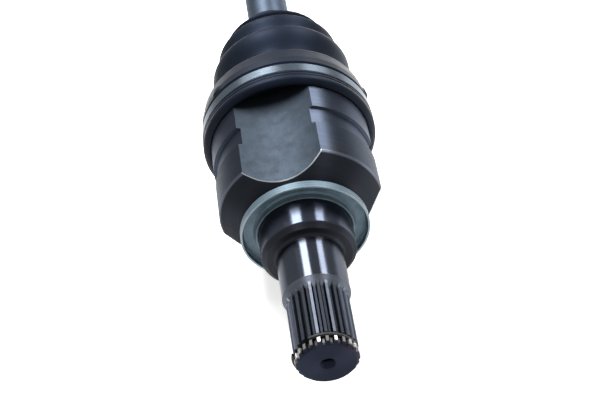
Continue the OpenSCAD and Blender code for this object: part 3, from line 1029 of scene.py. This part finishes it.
@dataclass
class InnerBoot(Boot):
    """The boot of the tripod joint, whose lip fills the housing's three hollows."""

    split: float = 108.3
    hollow_radius: float = 40.4
    lip_radius: float = 37.6
    plug_lip: float = 62.7
    plug_floor: float = 68.8
    plug_corner: float = 63.3
    plug_end: float = 83.0
    plug_dish: float = 0.7
    plug_bend: int = 6

    def build(self, material: bpy.types.Material) -> None:
        """Builds both halves and the plugs, and ties the plugs to the housing."""
        low, high = self.corners[0][0], self.far_cuff[-1][0]
        front = self.piece("inner_boot_front", low, self.split, material)
        back = self.piece("inner_boot_back", self.split, high, material)
        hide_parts("inner_boot")
        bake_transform(front)
        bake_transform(back)
        for number, angle in enumerate(HOLLOW_ANGLES, 1):
            plug = self.plug(f"inner_boot_plug_{number}", angle, material)
            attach(plug, "inner_housing")

    def plug(self, name: str, angle: float, material: bpy.types.Material) -> bpy.types.Object:
        """Fills the space between the round lip and one hollow.

        The cross-section lies between the lip's circle and the hollow's circle; a point is
        a share u across the hollow and v from the hollow's floor to the lip. The front
        face is dished: it stands at plug_lip on the lip's edge and falls back to the
        floor's line by (1 - v)^plug_dish, and that line comes forward from plug_floor to
        plug_corner by u^plug_bend.

        Args:
            name: the piece's name.
            angle: where the hollow faces, in degrees from +Y to +Z.
            material: its finish.

        Returns:
            The mesh object.
        """
        lip, centre = self.lip_radius, HOLLOW_CENTRE
        # The two circles meet at this angle from the hollow's middle. The rubber stops just
        # short of it, so that its edge keeps a width.
        half = math.acos((lip**2 + centre**2 - self.hollow_radius**2) / (2 * lip * centre))
        u = np.linspace(-1, 1, 41)
        around = half * 0.999 * u
        reach = centre * np.cos(around)
        floor = reach - np.sqrt(self.hollow_radius**2 - (centre * np.sin(around)) ** 2)
        v = np.linspace(0, 1, 17)
        share = np.concatenate([v, v[::-1]])
        column, row = np.meshgrid(np.arange(u.size), np.arange(share.size))
        radius = floor[column] + (lip - floor[column]) * share[row]
        turn = math.radians(angle) + around[column]
        bend = u[column] ** self.plug_bend
        foot = self.plug_floor + (self.plug_corner - self.plug_floor) * bend
        fall = (1 - share[row]) ** self.plug_dish
        front = self.plug_lip + (foot - self.plug_lip) * fall
        station = np.where(row < v.size, front, self.plug_end)
        points = np.stack([station, radius * np.cos(turn), radius * np.sin(turn)], -1)
        # The profile runs the other way round than a boot's, so the faces turn over.
        quads = grid_quads(share.size, u.size, closed=False)[:, [0, 3, 2, 1]]
        return mesh_object(name, points.reshape(-1, 3) * MM, quads, material)


@dataclass
class OuterBoot(Boot):
    """The boot of the wheel-end ball joint."""

    split: float = 366.5

    def build(self, material: bpy.types.Material) -> None:
        """Builds both halves."""
        low, high = self.corners[0][0], self.far_cuff[-1][0]
        front = self.piece("outer_boot_bar_side", low, self.split, material)
        back = self.piece("outer_boot_wheel_side", self.split, high, material)
        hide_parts("outer_boot")
        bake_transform(front)
        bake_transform(back)


@dataclass
class Camera:
    """The photograph's camera, fitted to the shaft's outlines."""

    place: tuple[float, float, float] = (-0.4201594, -0.0720929, 0.460376)
    right: tuple[float, float, float] = (-0.1230161, -0.9552823, -0.2688916)
    down: tuple[float, float, float] = (-0.711364, 0.2738055, -0.6472957)
    forward: tuple[float, float, float] = (0.6919742, 0.111652, -0.713236)
    lens: float = 86.07

    def build(self) -> None:
        """Adds the camera and makes it the scene's."""
        data = bpy.data.cameras.new("photo_camera")
        data.lens = self.lens
        data.sensor_width = 36.0
        data.clip_start = 0.01
        camera = bpy.data.objects.new("photo_camera", data)
        columns = np.array([self.right, -np.array(self.down), -np.array(self.forward)]).T
        matrix = Matrix(columns.tolist()).to_4x4()
        matrix.translation = Vector(self.place)
        camera.matrix_world = matrix
        bpy.context.scene.collection.objects.link(camera)
        bpy.context.scene.camera = camera


@dataclass(frozen=True)
class Softbox:
    """A rectangular lamp beside the shaft, whose long side runs along it.

    Its middle stands at an angle round the shaft (degrees from +Y to +Z) and a distance
    from the axis, and it faces the axis. Sizes are in metres; the brightness is radiance.
    Its share of diffuse light is low, so that a matt colour renders about as written.
    """

    name: str
    angle: float
    distance: float
    start: float
    end: float
    width: float
    radiance: float
    diffuse: float = 0.2

    def build(self) -> None:
        """Adds the lamp."""
        length = self.end - self.start
        data = bpy.data.lights.new(self.name, "AREA")
        data.shape = "RECTANGLE"
        data.size = length
        data.size_y = self.width
        data.energy = self.radiance * math.pi * length * self.width
        data.diffuse_factor = self.diffuse
        lamp = bpy.data.objects.new(self.name, data)
        turn = math.radians(self.angle)
        outwards = Vector((0, math.cos(turn), math.sin(turn)))
        along = Vector((1, 0, 0))
        axes = Matrix((along, outwards.cross(along), outwards)).transposed()
        matrix = axes.to_4x4()
        matrix.translation = along * (self.start + self.end) / 2 + outwards * self.distance
        lamp.matrix_world = matrix
        bpy.context.scene.collection.objects.link(lamp)


@dataclass
class Studio:
    """A white floor, an even white world and a few soft lamps over the shaft.

    ambient is the world's strength for diffuse light, and floor_glow what the floor adds
    where it is seen directly or mirrored. The floor reaches floor_reach metres each way
    from the station floor_middle, also in metres.
    """

    lamps: tuple[Softbox, ...] = (
        Softbox("stub_light_left", 84.0, 0.32, 0.05, 0.325, 0.12, 30.0),
        Softbox("stub_light_right", 137.0, 0.32, 0.05, 0.325, 0.1, 18.0),
        Softbox("body_light_left", 72.0, 0.36, 0.38, 0.95, 0.3, 3.2),
        Softbox("body_light_right", 150.0, 0.36, 0.36, 0.95, 0.18, 2.7),
    )
    ambient: float = 0.62
    floor_glow: float = 0.45
    floor_reach: float = 4.0
    floor_middle: float = 0.3

    def build(self, floor_height: float) -> None:
        """Builds the floor, the world and the lamps.

        Args:
            floor_height: height of the floor, in metres.
        """
        world = bpy.data.worlds.new("studio_white")
        bpy.context.scene.world = world
        world.use_nodes = True
        tree = world.node_tree
        tree.nodes.clear()
        strength = add_node(
            tree,
            "ShaderNodeMapRange",
            {"To Min": self.ambient, "To Max": 1.0, "Value": self._seen(tree)},
        )
        background = add_node(
            tree, "ShaderNodeBackground", {"Color": WHITE, "Strength": strength.outputs[0]}
        )
        add_node(tree, "ShaderNodeOutputWorld", {"Surface": background.outputs[0]})
        self._floor(floor_height)
        for lamp in self.lamps:
            lamp.build()
        bpy.context.scene.view_settings.view_transform = "Standard"

    @staticmethod
    def _seen(tree: bpy.types.NodeTree) -> bpy.types.NodeSocket:
        """Is 1 where the camera, a mirror or glass looks, and 0 for diffuse light."""
        rays = add_node(tree, "ShaderNodeLightPath")
        direct = calc(
            tree, "MAXIMUM", rays.outputs["Is Camera Ray"], rays.outputs["Is Transmission Ray"]
        )
        return calc(tree, "MAXIMUM", direct, rays.outputs["Is Glossy Ray"])

    def _floor(self, height: float) -> None:
        """Lays a plain white floor at the given height; it keeps the shaft's shadow."""
        material, tree = start_material("white_floor")
        matt = add_node(tree, "ShaderNodeBsdfDiffuse", {"Color": linear("#f6f6f6")})
        strength = calc(tree, "MULTIPLY", self._seen(tree), self.floor_glow)
        glow = add_node(tree, "ShaderNodeEmission", {"Color": WHITE, "Strength": strength})
        both = add_node(tree, "ShaderNodeAddShader", {0: matt.outputs[0], 1: glow.outputs[0]})
        add_node(tree, "ShaderNodeOutputMaterial", {"Surface": both.outputs[0]})
        corners = np.array([[-1, -1, 0], [1, -1, 0], [1, 1, 0], [-1, 1, 0]]) * self.floor_reach
        corners = corners + np.array([self.floor_middle, 0, height])
        floor = mesh_object("floor", corners, np.array([[0, 1, 2, 3]]), material)
        floor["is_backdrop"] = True


@dataclass
class HalfShaft:
    """The shaft's finishes and its two boots."""

    housing: ZonedSteel = ZonedSteel(
        name="case_hardened_forging",
        zones=(
            Zone(-66.8, "#232733", 0.45, 0.1),
            Zone(-65.2, "#4c4744", 0.36, 0.3),
            # The groove is painted near-black: painted shade in the recess.
            Zone(-62.8, "#0d0e10", 0.6, 0.1),
            Zone(-60.8, "#2f333b", 0.52, 0.3),
            # The run-out cone is painted lighter than the spline and neck: a painted highlight.
            Zone(-35.0, "#565b64", 0.5, 0.2),
            Zone(-31.0, "#383c45", 0.2, 0.12),
            Zone(-10.0, "#2a2c31", 0.42, 0.2),
            Zone(-8.55, "#25272c", 0.38, 0.2),
            Zone(-6.3, "#373c46", 0.21, 0.12),
            Zone(6.0, "#202328", 0.42, 0.16),
            # A narrow band on the shoulder's chamfered edge, painted lighter: a painted
            # highlight.
            Zone(19.9, "#565b66", 0.38, 0.2),
            Zone(20.8, "#2e343e", 0.38, 0.34),
            Zone(38.5, "#2a303a", 0.42, 0.3),
            Zone(40.0, "#343a45", 0.36, 0.44),
        ),
        end=90.0,
        teeth=(Teeth(-65.4, -62.8, 13.5, "#8b8d90"), Teeth(-60.8, -35.4, 13.5, "#4a4f58")),
        hollows=Hollows(
            centre=HOLLOW_CENTRE,
            radius=40.5,
            start=8.0,
            end=89.0,
            wear_and_highlight_end=20.9,
            wear_and_highlight_colour="#a9adb2",
        ),
        core_radius=9.0,
    )
    axle: ZonedSteel = ZonedSteel(
        name="turned_stub_axle",
        zones=(
            Zone(390.0, "#3a404b", 0.36, 0.35),
            Zone(428.0, "#343841", 0.42, 0.3),
            Zone(445.5, "#3d3f48", 0.24, 0.2),
            Zone(452.6, "#3b3d45", 0.26, 0.2),
            Zone(461.3, "#202329", 0.4, 0.3),
            Zone(504.0, "#3c4048", 0.34, 0.3),
        ),
        end=531.0,
        teeth=(Teeth(463.0, 504.0, 14.3, "#585d64"),),
        thread=Thread(507.0, 528.5, 1.5),
    )

    def dress_metal(self) -> None:
        """Gives every metal CAD node its finish."""
        dress(["inner_housing"], self.housing.material())
        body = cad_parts["inner_housing"].data
        body.materials.append(ForgedSkin().material())
        forged = self.housing.hollows.faces(body)
        body.polygons.foreach_set("material_index", forged.astype(np.int32))
        log.info("forged faces: %d of %d", forged.sum(), forged.size)
        dress(["outer_housing"], self.axle.material())
        dress(["dust_deflector"], PlatedSheet().material())
        turned = PlainSteel("turned_bar_steel", "#424b57", 0.5, Cut.TURNED)
        dress(["bar"], turned.material())
        band = PlainSteel("stainless_clamp_band", "#4d565f", 0.23, Cut.GROUND, "#485058")
        dress([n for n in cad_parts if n.endswith("_clamp")], band.material())
        spring = PlainSteel("blackened_spring_steel", "#0c0d10", 0.55, Cut.BLACKENED)
        dress(
            ["stub_circlip", "spider_snap_ring", "race_snap_ring", "trunnion_snap_rings"],
            spring.material(),
        )
        hard = PlainSteel("hardened_joint_steel", "#6d7077", 0.3, Cut.GROUND)
        dress(["tripod_spider", "inner_race", "ball_cage", "needle_washers"], hard.material())
        polished = PlainSteel("polished_bearing_steel", "#c6cace", 0.12, Cut.GROUND, "#a8acb0")
        rolling = [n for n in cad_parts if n.startswith(("roller", "needles", "ball_"))]
        dress([n for n in rolling if n != "ball_cage"], polished.material())

    def build_boots(self) -> None:
        """Builds the two boots."""
        rubber = MouldedRubber().material()
        inner = InnerBoot(
            corners=[
                (62.3, 37.6), (62.7, 39.0), (63.6, 40.2), (64.4, 40.6), (65.7, 40.6),
                (66.0, 39.8), (66.3, 40.6), (67.3, 40.6), (67.6, 39.8), (67.9, 40.6),
                (69.1, 40.6), (69.15, 39.4), (75.1, 39.4), (75.4, 40.3), (79.3, 40.0),
            ],
            turns=[
                (84.6, 38.8), (95.2, 28.0), (108.3, 33.6), (115.3, 27.4), (122.3, 29.7),
                (126.8, 20.4), (131.2, 25.5), (134.6, 13.5),
            ],
            far_cuff=[
                (137.1, 13.9), (137.5, 13.0), (143.2, 13.0), (143.6, 14.3), (146.1, 14.3),
            ],
            seat=[(62.3, 37.1), (84.6, 37.1), (134.3, 10.6), (146.1, 10.6)],
            wall=1.8,
            lean=1.2,
            lean_angle=188.9,
            lean_span=(84.6, 134.6),
            tabs=[Tab(173.0, 76.2, 79.5, 4.0, 0.7), Tab(51.0, 76.2, 79.5, 4.0, 0.7)],
        )
        inner.build(rubber)
        outer = OuterBoot(
            corners=[(323.8, 14.3), (326.6, 14.3), (326.9, 13.0), (333.2, 13.0), (333.6, 14.4)],
            turns=[
                (336.3, 14.0), (341.3, 20.5), (347.3, 17.6), (353.3, 29.6), (359.3, 27.4),
                (365.3, 35.0), (371.3, 31.6), (377.3, 38.8), (383.3, 34.8), (389.3, 41.0),
                (393.8, 37.2), (396.8, 42.7),
            ],
            far_cuff=[
                (398.3, 43.2), (403.9, 43.2), (403.95, 42.9), (408.65, 42.9), (408.7, 43.2),
                (414.0, 43.2),
            ],
            seat=[(323.8, 10.6), (337.0, 10.6), (396.7, 41.1), (414.0, 41.1)],
            wall=1.8,
        )
        outer.build(rubber)


def main() -> None:
    """Builds the finishes, boots, camera and studio in order."""
    logging.basicConfig(level=logging.INFO, format="%(name)s: %(message)s")
    cad_box = [list(corner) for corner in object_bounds()]
    shaft = HalfShaft()
    shaft.dress_metal()
    shaft.build_boots()
    Camera().build()
    Studio().build(cad_box[0][2])


if __name__ == "__main__":
    main()
